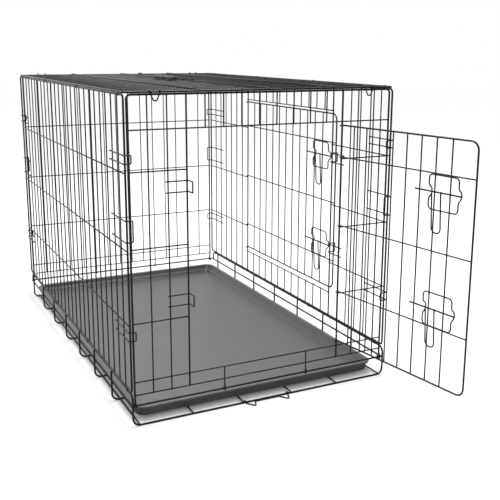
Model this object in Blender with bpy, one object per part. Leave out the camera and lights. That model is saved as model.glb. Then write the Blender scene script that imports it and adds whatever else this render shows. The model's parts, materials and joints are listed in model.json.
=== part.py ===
"""Folding wire dog crate: two doors, slide bolts, a slide-out tray and a carry handle.

Metres, +Z up. The front wall faces -Y. X = 0 is the middle of the front wall,
Y = 0 is the axis of the front floor wire, and the crate stands on Z = 0.
"""
import bpy
import bmesh
from math import cos, sin, tan, radians
from mathutils import Vector

# Walls: upright wires stand one pitch apart
PITCH = 0.0485
END_BAYS = 15
SIDE_BAYS = 25
WIDTH = END_BAYS * PITCH
DEPTH = SIDE_BAYS * PITCH

# Wire sizes, as radii
FRAME_R = 0.0025
MESH_R = 0.0017
POST_R = 0.0022
FLOOR_R = 0.0022
ROD_R = 0.0020
FLAT = cos(radians(30))

# Fits between wires
WELD = 0.0003
CLEARANCE = 0.0003
SLACK = 0.0005
LEFT_ROOM = 0.0018
RIGHT_ROOM = 0.0045

# Heights above the floor
RAIL_Z = 0.053
RAIL_RISE = 0.030
BOTTOM_WIRE_Z = 0.0785
SILL_Z = 0.112
MESH_HEIGHTS = (0.263, 0.448, 0.633)
WALL_TOP_Z = 0.812
HEADER_Z = WALL_TOP_Z - 0.081
SIDE_SILL_Z = 0.165
SIDE_HEADER_Z = WALL_TOP_Z - 0.077

# Layers of a wall, measured from the plane of its frame and uprights towards one side
SILL_LAYER = 2 * MESH_R - WELD
CROSS_LAYER = 2 * MESH_R + CLEARANCE
STACK = 2 * FRAME_R + SLACK

# Base
CORNER_BEND = 0.018
FLOOR_WIRES = 6
FLOOR_WIRE_INSET = 0.015
FRONT_SPLIT = -0.020
CROSS_WIRES = 8
CROSS_WIRE_STEP = 0.1666
FLOOR_Z = FRAME_R * FLAT
LEG_LAP = 2 * FRAME_R * FLAT - WELD
FLOOR_WIRE_Z = FLOOR_Z + FRAME_R * FLAT + FLOOR_R - WELD
FRONT_Y = FRAME_R + FRAME_R * FLAT - WELD
BACK_Y = FRONT_Y + DEPTH
LEFT_X = -WIDTH / 2 - STACK - LEFT_ROOM
RIGHT_X = WIDTH / 2 + STACK + RIGHT_ROOM
RAIL_TOP_Z = RAIL_Z + RAIL_RISE
SIDE_BOTTOM_Z = RAIL_TOP_Z + STACK
LID_Z = WALL_TOP_Z + STACK
PANEL_BEND = 0.010
RAIL_DROP_INSET = 0.014
RAIL_OVERHANG = 0.004

# Tray
TRAY_SIDE_GAP = 0.0058
TRAY_FRONT_GAP = 0.0154
TRAY_BACK_GAP = 0.0175
TRAY_HEIGHT = 0.0275
TRAY_CORNER = 0.034
TRAY_Z = FLOOR_WIRE_Z + FLOOR_R + CLEARANCE

# Doors; a door's own axes run from its hinge along U, outwards along N
FRONT_POSTS = (3, 12)
SIDE_POSTS = (6, 18)
BAY_UPRIGHTS = (5, 10)
FRONT_DOOR_WIDTH = 0.445
SIDE_DOOR_WIDTH = 0.595
DOOR_HEADROOM = 0.010
FRONT_DOOR_Z = (0.126, HEADER_Z - DOOR_HEADROOM)
SIDE_DOOR_Z = (0.179, SIDE_HEADER_Z - DOOR_HEADROOM)
DOOR_OPEN = radians(98)
DOOR_BEND = 0.020
DOOR_FIRST_WIRE = 0.039
DOOR_WIRE_STEP = 0.0473
DOOR_EDGE_BAY = 0.060
DOOR_LIFT = 0.0045
DOOR_FRAME_LAYER = 2 * POST_R + SLACK - 0.0001
DOOR_CROSS_LAYER = POST_R + MESH_R + SLACK
DOOR_UPRIGHT_LAYER = DOOR_CROSS_LAYER + 2 * MESH_R + CLEARANCE
WIRE_OVERRUN = 0.0015

# Slide bolts, placed from the door's free edge
LATCH_HEIGHTS = (("upper", 0.592), ("lower", 0.308))
ROD_LENGTH = 0.145
ROD_SETBACK = 0.044
GUIDE_LENGTH = 0.090
GUIDE_SETBACK = 0.053
GUIDE_DROP = 0.042
GUIDE_RISE = 0.041
GUIDE_BEND = 0.010
STAPLE_BULGE = 0.009
STAPLE_REACH = 0.0075
STAPLE_FOOT = 0.015
HANDLE_SETBACK = 0.111
HANDLE_WIDTH = 0.028
HANDLE_LENGTH = 0.100
HANDLE_STEP = 0.005
HANDLE_BEND = 0.012
ROD_LAYER = DOOR_UPRIGHT_LAYER + MESH_R + CLEARANCE + ROD_R
GUIDE_LAYER = DOOR_UPRIGHT_LAYER + 2 * MESH_R + CLEARANCE
HANDLE_OFFSET = ROD_R + MESH_R + CLEARANCE

# Keepers on the door posts
KEEPER_HALF = 0.0135
KEEPER_REACH = 0.022
KEEPER_BEND = 0.003
KEEPER_SETBACK = 0.0055
FRONT_KEEPER_TAIL = 0.0525
SIDE_KEEPER_TAIL = 0.073
KEEPER_LAYER = POST_R + MESH_R + CLEARANCE

# Corner hooks: name, height, half of the loop's height
CORNER_HOOKS = (("upper", 0.665, 0.010), ("middle", 0.495, 0.026), ("lower", 0.235, 0.011))
HOOK_ARM = 0.107
HOOK_REACH = 0.006
HOOK_BEND = 0.003
HOOK_GAP = 0.0006

# Hooks that hang from the lid's end wires
LID_HOOK_WIDTH = 0.026
LID_HOOK_DROP = 0.020
LID_HOOK_TIP = 0.008
LID_HOOK_PLACES = (("left", 1.4), ("right", 13.6))

# Clips round two stacked wires
CLIP_THICKNESS = 0.0008
CLIP_LENGTH = 0.010
CLIP_SIDES = 6
CLIP_BAYS = (0.72, 8.5, 16.5, 24.28)

# Pan stop on the front floor wire
STOP_START = -0.064
STOP_TOOTH = 0.027
STOP_TIP = 0.018
STOP_ROD = 0.072
STOP_REACH = 0.026
STOP_BEND = 0.004
STOP_WRAP = radians(160)
STOP_WRAP_STEPS = 4
STOP_LAYER = FRAME_R + MESH_R + CLEARANCE

# Lid, its carry handle and its rear loop
LID_LONG_WIRES = 3
BAIL_R = 0.0020
BAIL_LENGTH = 0.214
BAIL_REACH = 0.046
BAIL_RISE = 0.0060
BAIL_BEND = 0.010
BAIL_LAYER = MESH_R + BAIL_R + SLACK
GRIP_LENGTH = 0.176
GRIP_HALF_WIDTH = 0.0115
GRIP_HALF_HEIGHT = 0.0062
GRIP_SIDES = 12
GRIP_WAVES = 3
GRIP_SWELL = 0.08
GRIP_END_TAPER = 0.80
LOOP_BAYS = (20.14, 20.86)
LOOP_FOOT = 0.010
LOOP_RISE = 0.008

# Curled wire ends
CURL_SWEEP = radians(270)
CURL_STEPS = 8
RAIL_CURL_SWEEP = radians(225)
RAIL_CURL_STEPS = 7
LEG_JOG = 0.016

# Finishes: colour, roughness, metallic
BLACK_COAT = ((0.012, 0.012, 0.013), 0.38, 0.0)
TRAY_PLASTIC = ((0.055, 0.060, 0.060), 0.55, 0.0)
GRIP_PLASTIC = ((0.015, 0.015, 0.016), 0.50, 0.0)

ACROSS = Vector((1, 0, 0))
BEHIND = Vector((0, 1, 0))
UP = Vector((0, 0, 1))


def clear_scene():
    for old in list(bpy.data.objects):
        bpy.data.objects.remove(old, do_unlink=True)


# Paths

def arc(centre, first, second, radius, start, end, steps):
    """Points round centre; angles run from the direction first towards second."""
    turn = (end - start) / steps
    angles = [start + turn * i for i in range(steps + 1)]
    return [centre + (first * cos(a) + second * sin(a)) * radius for a in angles]


def bend(before, corner, after, radius, steps):
    """Points of the arc that rounds one corner of a path."""
    inward, outward = before - corner, after - corner
    opening = inward.angle(outward)
    reach = min(radius / tan(opening / 2), 0.49 * inward.length, 0.49 * outward.length)
    fitted = reach * tan(opening / 2)
    bisector = (inward.normalized() + outward.normalized()).normalized()
    centre = corner + bisector * (fitted / sin(opening / 2))
    start = corner + inward.normalized() * reach - centre
    end = corner + outward.normalized() * reach - centre
    return [centre + start.slerp(end, i / steps) * fitted for i in range(steps + 1)]


def rounded(corners, radius, steps=3, closed=False):
    """A path through corners, each rounded to radius."""
    corners = [Vector(corner) for corner in corners]
    path = []
    for i, corner in enumerate(corners):
        if not closed and i in (0, len(corners) - 1):
            path.append(corner)
            continue
        path += bend(corners[i - 1], corner, corners[(i + 1) % len(corners)], radius, steps)
    return path


# Wires

def directions(points, i, closed):
    """The path's directions just before and just after its point i."""
    first, last = i == 0, i == len(points) - 1
    after = (points[(i + 1) % len(points)] - points[i]).normalized()
    before = (points[i] - points[i - 1]).normalized()
    if closed or not (first or last):
        return before, after
    return (after, after) if first else (before, before)


def sweep(mesh, points, radius, up, closed=False, sides=6):
    """Lay a wire along points. One of its edges is turned to up."""
    points = [Vector(point) for point in points]
    rings = []
    for i, point in enumerate(points):
        before, after = directions(points, i, closed)
        along = (before + after).normalized()
        up = (up - along * up.dot(along)).normalized()
        side = along.cross(up)
        mitre = after - before
        stretch = 1 / along.dot(after) - 1
        if mitre.length > 1e-6:
            mitre.normalize()
        ring = []
        for k in range(sides):
            angle = radians(360 * k / sides)
            offset = (up * cos(angle) + side * sin(angle)) * radius
            offset += mitre * offset.dot(mitre) * stretch
            ring.append(mesh.verts.new(point + offset))
        rings.append(ring)
        up = (up - after * up.dot(after)).normalized()
    join_rings(mesh, rings, closed)


def join_rings(mesh, rings, closed=False):
    """Skin a run of rings; the ends of an open run are capped."""
    pairs = list(zip(rings, rings[1:]))
    if closed:
        pairs.append((rings[-1], rings[0]))
    for ring, following in pairs:
        for k in range(len(ring)):
            j = (k + 1) % len(ring)
            mesh.faces.new((ring[k], ring[j], following[j], following[k]))
    if not closed:
        mesh.faces.new(list(reversed(rings[0])))
        mesh.faces.new(rings[-1])


def straight(mesh, start, end, radius, up, sides=4):
    sweep(mesh, (start, end), radius, up, sides=sides)


# Objects

def add_object(name, mesh):
    """Turn a bmesh into an object of the scene."""
    data = bpy.data.meshes.new(name)
    mesh.to_mesh(data)
    mesh.free()
    item = bpy.data.objects.new(name, data)
    bpy.context.scene.collection.objects.link(item)
    return item


def bake(item):
    """Replace an object's mesh by its evaluated one."""
    bpy.context.view_layer.update()
    graph = bpy.context.evaluated_depsgraph_get()
    result = bpy.data.meshes.new_from_object(item.evaluated_get(graph))
    result.name = item.name
    item.modifiers.clear()
    item.data = result


def weld(name, *layers):
    """Join layers of crossing wires into one closed body."""
    body = add_object(name, layers[0])
    for layer in layers[1:]:
        other = add_object(name + "_layer", layer)
        joint = body.modifiers.new("weld", "BOOLEAN")
        joint.operation = "UNION"
        joint.solver = "EXACT"
        joint.object = other
        bake(body)
        bpy.data.objects.remove(other, do_unlink=True)
    return body


def finish(item, look, parent=None, place=None):
    """Give an object its own material, its parent and its place."""
    colour, roughness, metallic = look
    material = bpy.data.materials.new(item.name + "_finish")
    material.use_nodes = True
    shader = material.node_tree.nodes["Principled BSDF"]
    shader.inputs["Base Color"].default_value = (*colour, 1.0)
    shader.inputs["Roughness"].default_value = roughness
    shader.inputs["Metallic"].default_value = metallic
    item.data.materials.clear()
    item.data.materials.append(material)
    item.parent = parent
    if place is not None:
        item.location = place
    item.data.shade_smooth()
    item.data.set_sharp_from_angle(angle=radians(50))
    return item


def pivot(name, place, turn=0.0, parent=None):
    """An empty on a joint's axis, turned about its own vertical."""
    empty = bpy.data.objects.new(name, None)
    bpy.context.scene.collection.objects.link(empty)
    empty.location = place
    empty.rotation_euler[2] = turn
    empty.parent = parent
    return empty


# Walls. A wall's wires are laid by (along, height, layer); layers count from its frame

class Wall:
    """A flat wall: where it starts, which way it runs and which way its layers stack."""

    def __init__(self, start, along, layers):
        self.start = Vector(start)
        self.along = Vector(along)
        self.layers = Vector(layers)

    def spot(self, along, height, layer=0.0):
        return self.start + self.along * along + UP * height + self.layers * layer

    def upright(self, mesh, along, low, high):
        straight(mesh, self.spot(along, low), self.spot(along, high), MESH_R, self.layers)

    def post(self, mesh, along, low, high):
        straight(mesh, self.spot(along, low), self.spot(along, high), POST_R, self.layers, 6)

    def crosswire(self, mesh, height, start, end, layer=CROSS_LAYER):
        straight(mesh, self.spot(start, height, layer), self.spot(end, height, layer), MESH_R, self.layers)


def rail_curl(wall, along, radius):
    """Path of a wire that jogs outwards and curls under the rail at height 0."""
    reach = FRAME_R + radius + SLACK
    outwards = -wall.layers
    centre = wall.spot(along, 0.0)
    round_rail = arc(centre, outwards, -UP, reach, 0.0, RAIL_CURL_SWEEP, RAIL_CURL_STEPS)
    return [wall.spot(along, LEG_JOG)] + round_rail


def end_frame(wall, length, height):
    """The bent frame wire of an end wall; both of its feet curl round the base rail."""
    left = list(reversed(rail_curl(wall, 0.0, FRAME_R)))
    right = rail_curl(wall, length, FRAME_R)
    top = (left[-1], wall.spot(0.0, height), wall.spot(length, height), right[0])
    mesh = bmesh.new()
    start = (left[0] - wall.spot(0.0, 0.0)).normalized()
    sweep(mesh, left[:-1] + rounded(top, PANEL_BEND) + right[1:], FRAME_R, start)
    return mesh


def curled_upright(mesh, wall, along, high):
    """A short upright whose foot curls round the base rail."""
    sweep(mesh, [wall.spot(along, high)] + rail_curl(wall, along, MESH_R), MESH_R, wall.layers)


def end_wall(name, wall, top, with_door, parent):
    """A wall at the front or back; heights are counted from the rail it folds on."""
    heights = {key: value - RAIL_Z for key, value in
               (("bottom", BOTTOM_WIRE_Z), ("sill", SILL_Z), ("header", HEADER_Z))}
    uprights, crosswires = bmesh.new(), bmesh.new()
    door_bay = range(FRONT_POSTS[0] + 1, FRONT_POSTS[1]) if with_door else ()
    for i in range(1, END_BAYS):
        along = i * PITCH
        if with_door and i in FRONT_POSTS:
            wall.post(uprights, along, heights["bottom"], top)
        elif i in door_bay:
            wall.upright(uprights, along, heights["header"] - MESH_R, top)
            if i in BAY_UPRIGHTS:
                curled_upright(uprights, wall, along, heights["sill"] + MESH_R)
        elif i in BAY_UPRIGHTS:
            curled_upright(uprights, wall, along, top)
        else:
            wall.upright(uprights, along, heights["bottom"] - MESH_R, top)
    overrun = FRAME_R - WIRE_OVERRUN
    spans = [(-overrun, WIDTH + overrun)]
    if with_door:
        left, right = (post * PITCH for post in FRONT_POSTS)
        spans = [(-overrun, left + overrun), (right - overrun, WIDTH + overrun)]
    for height in MESH_HEIGHTS:
        for start, end in spans:
            wall.crosswire(crosswires, height - RAIL_Z, start, end)
    full = ["bottom", "sill"] + (["header"] if with_door else [])
    for key in full:
        wall.crosswire(crosswires, heights[key], -overrun, WIDTH + overrun, SILL_LAYER)
    body = weld(name, uprights, crosswires, end_frame(wall, WIDTH, top))
    return finish(body, BLACK_COAT, parent)


def side_frame(wall):
    """The closed, round-cornered frame of a side wall."""
    corners = [wall.spot(0, SIDE_BOTTOM_Z), wall.spot(DEPTH, SIDE_BOTTOM_Z),
               wall.spot(DEPTH, WALL_TOP_Z), wall.spot(0, WALL_TOP_Z)]
    mesh = bmesh.new()
    sweep(mesh, rounded(corners, PANEL_BEND, closed=True), FRAME_R, wall.layers, closed=True)
    return mesh


def side_wall(name, wall, with_door):
    uprights, crosswires = bmesh.new(), bmesh.new()
    for i in range(1, SIDE_BAYS):
        along = i * PITCH
        if with_door and i in SIDE_POSTS:
            wall.post(uprights, along, SIDE_BOTTOM_Z, WALL_TOP_Z)
        elif with_door and SIDE_POSTS[0] < i < SIDE_POSTS[1]:
            wall.upright(uprights, along, SIDE_BOTTOM_Z, SIDE_SILL_Z + MESH_R)
            wall.upright(uprights, along, SIDE_HEADER_Z - MESH_R, WALL_TOP_Z)
        else:
            wall.upright(uprights, along, SIDE_BOTTOM_Z, WALL_TOP_Z)
    overrun = FRAME_R - WIRE_OVERRUN
    spans = [(-overrun, DEPTH + overrun)]
    if with_door:
        front, back = (post * PITCH for post in SIDE_POSTS)
        spans = [(-overrun, front + overrun), (back - overrun, DEPTH + overrun)]
        for height in (SIDE_SILL_Z, SIDE_HEADER_Z):
            wall.crosswire(crosswires, height, front - overrun, back + overrun, SILL_LAYER)
    for height in MESH_HEIGHTS:
        for start, end in spans:
            wall.crosswire(crosswires, height, start, end)
    return finish(weld(name, uprights, crosswires, side_frame(wall)), BLACK_COAT)


# Base

def side_lane(side):
    """X of a side's rails, and of the feet that lap their outer face."""
    rail = LEFT_X if side < 0 else RIGHT_X
    return rail, rail + side * LEG_LAP


def outline_wire():
    """One wire: both top side rails, run forwards and down into the front cross wire."""
    rear = BACK_Y - RAIL_DROP_INSET
    left, right = side_lane(-1)[0], side_lane(1)[0]
    corners = [(left, rear, RAIL_Z), (left, rear, RAIL_TOP_Z), (left, 0, RAIL_TOP_Z), (left, 0, FLOOR_Z),
               (right, 0, FLOOR_Z), (right, 0, RAIL_TOP_Z), (right, rear, RAIL_TOP_Z), (right, rear, RAIL_Z)]
    path = rounded(corners, CORNER_BEND)
    # A point off the middle, so that no facet's edge runs under the crate's origin
    path.insert(len(path) // 2, Vector((FRONT_SPLIT, 0, FLOOR_Z)))
    mesh = bmesh.new()
    sweep(mesh, path, FRAME_R, -BEHIND)
    return mesh


def cross_wires():
    """The U-shaped floor wires behind the front one."""
    mesh = bmesh.new()
    left, right = side_lane(-1)[1], side_lane(1)[1]
    for i in range(1, CROSS_WIRES):
        y = i * CROSS_WIRE_STEP
        top = RAIL_TOP_Z + FRAME_R
        corners = [(left, y, top), (left, y, FLOOR_Z), (right, y, FLOOR_Z), (right, y, top)]
        sweep(mesh, rounded(corners, CORNER_BEND), FRAME_R, BEHIND)
    return mesh


def rear_rail():
    """The lower side rails and the rail that the back wall folds on, bent from one wire."""
    corners = [(LEFT_X, FRONT_Y, RAIL_Z), (LEFT_X, BACK_Y, RAIL_Z),
               (RIGHT_X, BACK_Y, RAIL_Z), (RIGHT_X, FRONT_Y, RAIL_Z)]
    mesh = bmesh.new()
    sweep(mesh, rounded(corners, STACK / 2), FRAME_R, UP)
    return mesh


def front_rail():
    """The straight rail that the front wall folds on."""
    mesh = bmesh.new()
    start = Vector((LEFT_X - RAIL_OVERHANG, FRONT_Y, RAIL_Z))
    end = Vector((RIGHT_X + RAIL_OVERHANG, FRONT_Y, RAIL_Z))
    straight(mesh, start, end, FRAME_R, UP, 6)
    return mesh


def floor_wires():
    """Lengthwise wires laid on the cross wires; the tray slides on them."""
    mesh = bmesh.new()
    first, last = LEFT_X + FLOOR_WIRE_INSET, RIGHT_X - FLOOR_WIRE_INSET
    back = (CROSS_WIRES - 1) * CROSS_WIRE_STEP
    for i in range(FLOOR_WIRES):
        x = first + (last - first) * i / (FLOOR_WIRES - 1)
        start = Vector((x, -WIRE_OVERRUN, FLOOR_WIRE_Z))
        end = Vector((x, back + WIRE_OVERRUN, FLOOR_WIRE_Z))
        straight(mesh, start, end, FLOOR_R, UP, 6)
    return mesh


def base():
    body = weld("base_frame", cross_wires(), floor_wires(), outline_wire(), rear_rail(), front_rail())
    return finish(body, BLACK_COAT)


# Tray

def tray_outline(half_width, half_depth, corner, height, mesh):
    """A ring of points on a rounded rectangle, anticlockwise from above."""
    ring = []
    for quarter, (sx, sy) in enumerate(((1, 1), (-1, 1), (-1, -1), (1, -1))):
        centre = Vector((sx * (half_width - corner), sy * (half_depth - corner), height))
        start = radians(90 * quarter)
        for point in arc(centre, ACROSS, BEHIND, corner, start, start + radians(90), 4):
            ring.append(mesh.verts.new(point))
    return ring


def tray():
    """A moulded pan: rolled rim, stepped inner wall and flat floor."""
    half_width = (WIDTH - 2 * TRAY_SIDE_GAP) / 2
    half_depth = (DEPTH - TRAY_FRONT_GAP - TRAY_BACK_GAP) / 2
    top = TRAY_HEIGHT
    profile = ((0.0130, 0.0), (0.0095, 0.0012), (0.0070, top - 0.0060), (0.0006, top - 0.0052),
               (0.0, top - 0.0038), (0.0, top - 0.0014), (0.0010, top), (0.0100, top),
               (0.0115, top - 0.0012), (0.0165, top - 0.0125), (0.0290, top - 0.0140),
               (0.0340, 0.0048), (0.0380, 0.0038))
    mesh = bmesh.new()
    rings = []
    for inset, height in profile:
        corner = max(TRAY_CORNER - inset, 0.008)
        rings.append(tray_outline(half_width - inset, half_depth - inset, corner, height, mesh))
    join_rings(mesh, rings)
    centre = Vector((0, FRONT_Y + TRAY_FRONT_GAP + half_depth, TRAY_Z))
    return finish(add_object("tray", mesh), TRAY_PLASTIC, place=centre)


def pan_stop():
    """A wire with two teeth on the front floor wire; flipped up, it holds the tray in."""
    axis = pivot("pan_stop_axis", (STOP_START, 0, FLOOR_Z))
    wrap = arc(Vector(), -BEHIND, UP, STOP_LAYER, STOP_WRAP, 0.0, STOP_WRAP_STEPS)
    front = wrap[-1]
    tooth = [front, front + ACROSS * STOP_TIP - BEHIND * STOP_REACH, front + ACROSS * STOP_TOOTH]
    pitch = ACROSS * (STOP_TOOTH + STOP_ROD)
    teeth = rounded(tooth + [point + pitch for point in tooth], STOP_BEND, 2)
    far_wrap = [point + pitch + ACROSS * STOP_TOOTH for point in reversed(wrap)]
    mesh = bmesh.new()
    sweep(mesh, wrap[:-1] + teeth + far_wrap[1:], MESH_R, wrap[0].normalized())
    return finish(add_object("pan_stop", mesh), BLACK_COAT, axis)


# Doors, in their own axes: X from the hinge, Y outwards, Z up

def curl(height, radius, start, end):
    """A wire's end, curled round the door post at the hinge."""
    return arc(Vector((0, 0, height)), ACROSS, BEHIND, radius, start, end, CURL_STEPS)


def door_frame(width, low, high):
    """The door's bent frame wire, with both ends curled round the hinge post."""
    layer = DOOR_FRAME_LAYER
    quarter = radians(90)
    top = curl(high, layer, quarter + CURL_SWEEP, quarter)
    foot = curl(low, layer, quarter, quarter + CURL_SWEEP)
    bow = rounded([top[-1], (width, layer, high), (width, layer, low), foot[0]], DOOR_BEND, 4)
    mesh = bmesh.new()
    sweep(mesh, top[:-1] + bow + foot[1:], POST_R, ACROSS)
    return mesh


def door(name, width, heights, parent):
    """A door: frame, curled crosswires on its inner side and uprights on its outer side."""
    low, high = heights
    crosswires, uprights = bmesh.new(), bmesh.new()
    quarter = radians(90)
    for height in MESH_HEIGHTS:
        level = height + DOOR_LIFT
        path = [Vector((width, DOOR_CROSS_LAYER, level))]
        path += curl(level, DOOR_CROSS_LAYER, quarter, quarter + CURL_SWEEP)
        sweep(crosswires, path, MESH_R, BEHIND)
    for i in range(int((width - DOOR_FIRST_WIRE - DOOR_EDGE_BAY) / DOOR_WIRE_STEP) + 1):
        x = DOOR_FIRST_WIRE + i * DOOR_WIRE_STEP
        start = Vector((x, DOOR_UPRIGHT_LAYER, low - WIRE_OVERRUN))
        end = Vector((x, DOOR_UPRIGHT_LAYER, high + WIRE_OVERRUN))
        straight(uprights, start, end, MESH_R, BEHIND)
    return finish(weld(name, uprights, crosswires, door_frame(width, low, high)), BLACK_COAT, parent)


def latch_guide(name, width, level, parent):
    """A ring on the door's outer face whose two sides bow out over the bolt rod."""
    outer, inner = width - GUIDE_SETBACK, width - GUIDE_SETBACK - GUIDE_LENGTH
    base_layer, crest = GUIDE_LAYER, GUIDE_LAYER + STAPLE_BULGE
    foot, top = level - GUIDE_DROP, level + GUIDE_RISE
    side = ((base_layer, -STAPLE_FOOT), (crest, -STAPLE_REACH),
            (crest, STAPLE_REACH), (base_layer, STAPLE_FOOT))
    corners = [(inner, base_layer, foot), (outer, base_layer, foot)]
    corners += [(outer, layer, level + rise) for layer, rise in side]
    corners += [(outer, base_layer, top), (inner, base_layer, top)]
    corners += [(inner, layer, level + rise) for layer, rise in reversed(side)]
    mesh = bmesh.new()
    sweep(mesh, rounded(corners, GUIDE_BEND, 1, closed=True), MESH_R, BEHIND, closed=True)
    return finish(add_object(name, mesh), BLACK_COAT, parent)


def latch_rod(name, width, level, parent):
    """The sliding bolt rod; its empty lies on the rod's own axis."""
    start = width - ROD_SETBACK - ROD_LENGTH
    axis = pivot(name + "_slide", (start, ROD_LAYER, level), parent=parent)
    mesh = bmesh.new()
    straight(mesh, Vector(), ACROSS * ROD_LENGTH, ROD_R, UP, 8)
    finish(add_object(name, mesh), BLACK_COAT, axis)
    return axis


def latch_handle(name, axis):
    """The hanging U that turns about the rod; its legs lap the rod's outer side."""
    near = ROD_LENGTH + ROD_SETBACK - HANDLE_SETBACK
    far = near - HANDLE_WIDTH
    lap = HANDLE_OFFSET
    drop = ((lap, ROD_R), (lap, -4 * ROD_R), (lap + HANDLE_STEP, -HANDLE_LENGTH))
    corners = [(far, layer, rise) for layer, rise in drop]
    corners += [(near, layer, rise) for layer, rise in reversed(drop)]
    mesh = bmesh.new()
    sweep(mesh, rounded(corners, HANDLE_BEND, 2), MESH_R, BEHIND)
    return finish(add_object(name, mesh), BLACK_COAT, axis)


def latches(side, width, parent):
    for tag, level in LATCH_HEIGHTS:
        latch_guide(f"{side}_latch_guide_{tag}", width, level, parent)
        axis = latch_rod(f"{side}_latch_rod_{tag}", width, level, parent)
        latch_handle(f"{side}_latch_handle_{tag}", axis)


def keeper(name, wall, post, tail, level, parent=None):
    """A wire loop beside a door post; it reaches out through the closed door for the rod."""
    loop = post + KEEPER_SETBACK
    start = post - tail
    half = KEEPER_HALF
    corners = [wall.spot(start, level + half, KEEPER_LAYER), wall.spot(loop, level + half, KEEPER_LAYER),
               wall.spot(loop, level + half, -KEEPER_REACH), wall.spot(loop, level - half, -KEEPER_REACH),
               wall.spot(loop, level - half, KEEPER_LAYER), wall.spot(start, level - half, KEEPER_LAYER)]
    mesh = bmesh.new()
    sweep(mesh, rounded(corners, KEEPER_BEND, 1), MESH_R, UP)
    return finish(add_object(name, mesh), BLACK_COAT, parent)


# Hooks and clips

def corner_hook(end_name, side_name, tag, level, half):
    """A U on the outside of a side wall, wrapped round the edge of an end wall's frame."""
    side = -1 if side_name == "left" else 1
    end = -1 if end_name == "front" else 1
    y = FRONT_Y if end < 0 else BACK_Y
    lane = side * (FRAME_R + MESH_R + CLEARANCE) + side_lane(side)[0]
    wrap = y + end * (FRAME_R + MESH_R + HOOK_GAP)
    edge = side * (WIDTH / 2 - HOOK_REACH)
    arm = y - end * HOOK_ARM
    corners = [(lane, arm, half), (lane, wrap, half), (edge, wrap, half),
               (edge, wrap, -half), (lane, wrap, -half), (lane, arm, -half)]
    mesh = bmesh.new()
    sweep(mesh, rounded(corners, HOOK_BEND, 1), MESH_R, UP)
    name = f"corner_hook_{end_name}_{side_name}_{tag}"
    return finish(add_object(name, mesh), BLACK_COAT, place=(0, 0, level))


def lid_hook(end_name, tag, bays):
    """A V that hangs from the lid's end wire and holds the end wall's top from outside."""
    end = -BEHIND if end_name == "front" else BEHIND
    reach = FRAME_R + MESH_R + CLEARANCE
    over = arc(Vector(), -end, UP, reach, 0.0, radians(180), 4)
    half = LID_HOOK_WIDTH / 2
    inner = [point - ACROSS * half for point in over]
    outer = [point + ACROSS * half for point in reversed(over)]
    point = end * reach - UP * LID_HOOK_DROP
    tip = ACROSS * LID_HOOK_TIP / 2
    valley = rounded([inner[-1], point - tip, point + tip, outer[0]], HOOK_BEND, 1)
    mesh = bmesh.new()
    sweep(mesh, inner[:-1] + valley + outer[1:], MESH_R, -end)
    y = FRONT_Y if end_name == "front" else BACK_Y
    place = (-WIDTH / 2 + bays * PITCH, y, LID_Z)
    return finish(add_object(f"lid_hook_{end_name}_{tag}", mesh), BLACK_COAT, place=place)


def racetrack(mesh, radius, y):
    """A ring of points round two stacked wires, with flats radius away from them."""
    ring = []
    vertex = radius / cos(radians(180 / CLIP_SIDES))
    for half, lift in ((0, STACK), (1, 0.0)):
        start, centre = radians(180 * half), Vector((0, y, lift))
        for point in arc(centre, ACROSS, UP, vertex, start, start + radians(180), CLIP_SIDES // 2):
            ring.append(mesh.verts.new(point))
    return ring


def clip(name, place):
    """A steel band closed round two stacked wires, so that one can turn in it."""
    inner, outer = FRAME_R + CLEARANCE, FRAME_R + CLEARANCE + CLIP_THICKNESS
    half = CLIP_LENGTH / 2
    mesh = bmesh.new()
    rings = [racetrack(mesh, outer, half), racetrack(mesh, outer, -half),
             racetrack(mesh, inner, -half), racetrack(mesh, inner, half)]
    join_rings(mesh, rings, closed=True)
    return finish(add_object(name, mesh), BLACK_COAT, place=place)


# Lid

def lid():
    """The top: frame, cross wires and lengthwise wires, with a small loop near the back."""
    half = (RIGHT_X - LEFT_X) / 2
    cross, longs, frame, loop = bmesh.new(), bmesh.new(), bmesh.new(), bmesh.new()
    for i in range(1, SIDE_BAYS):
        straight(cross, Vector((-half, i * PITCH, 0)), Vector((half, i * PITCH, 0)), MESH_R, UP)
    overrun = FRAME_R - WIRE_OVERRUN
    for i in range(1, LID_LONG_WIRES + 1):
        x = -half + 2 * half * i / (LID_LONG_WIRES + 1)
        start, end = Vector((x, -overrun, CROSS_LAYER)), Vector((x, DEPTH + overrun, CROSS_LAYER))
        straight(longs, start, end, MESH_R, UP)
    corners = [(-half, 0, 0), (half, 0, 0), (half, DEPTH, 0), (-half, DEPTH, 0)]
    sweep(frame, rounded(corners, PANEL_BEND, closed=True), FRAME_R, UP, closed=True)
    sweep(loop, rounded(rear_loop(), HOOK_BEND, 2), MESH_R, ACROSS)
    place = ((LEFT_X + RIGHT_X) / 2, FRONT_Y, LID_Z)
    return finish(weld("top_panel", cross, longs, frame, loop), BLACK_COAT, place=place)


def rear_loop():
    """Corners of a low loop welded across two wires of the lid, beside its middle wire."""
    x = 2 * MESH_R + SLACK
    start, end = (bays * PITCH for bays in LOOP_BAYS)
    seat, crest = SILL_LAYER, SILL_LAYER + LOOP_RISE
    return [(x, start - LOOP_FOOT, seat), (x, start, seat), (x, start, crest),
            (x, end, crest), (x, end, seat), (x, end + LOOP_FOOT, seat)]


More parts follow.
